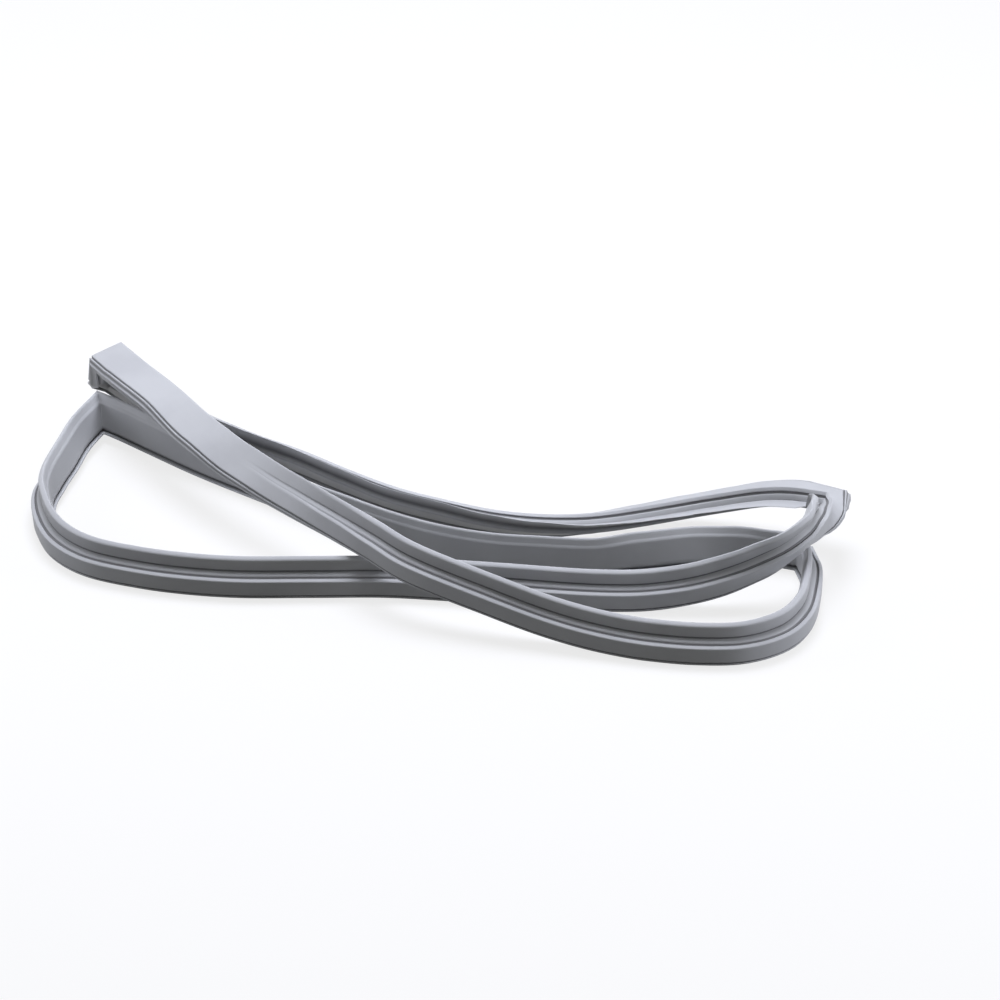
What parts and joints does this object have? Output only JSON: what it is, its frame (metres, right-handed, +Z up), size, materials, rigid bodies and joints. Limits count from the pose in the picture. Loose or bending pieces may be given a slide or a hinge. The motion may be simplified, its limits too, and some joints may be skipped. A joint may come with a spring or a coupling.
{
  "type": "refrigerator door gasket",
  "caption": "Grey soft PVC refrigerator door gasket with mitred welded corners, taken off the door and laid down in loose folds.",
  "frame": {"origin": "bottom centre of the bounding box, on the floor that the folded gasket lies on", "axes": "+X to the viewer's right along the long way of the folded loop, +Y away from the viewer, +Z up"},
  "size_m": [0.5812, 0.3968, 0.0657],
  "materials": {
    "soft_pvc": "satin"
  },
  "bodies": {
    "root": {"gasket": "soft_pvc"}
  },
  "joints": []
}
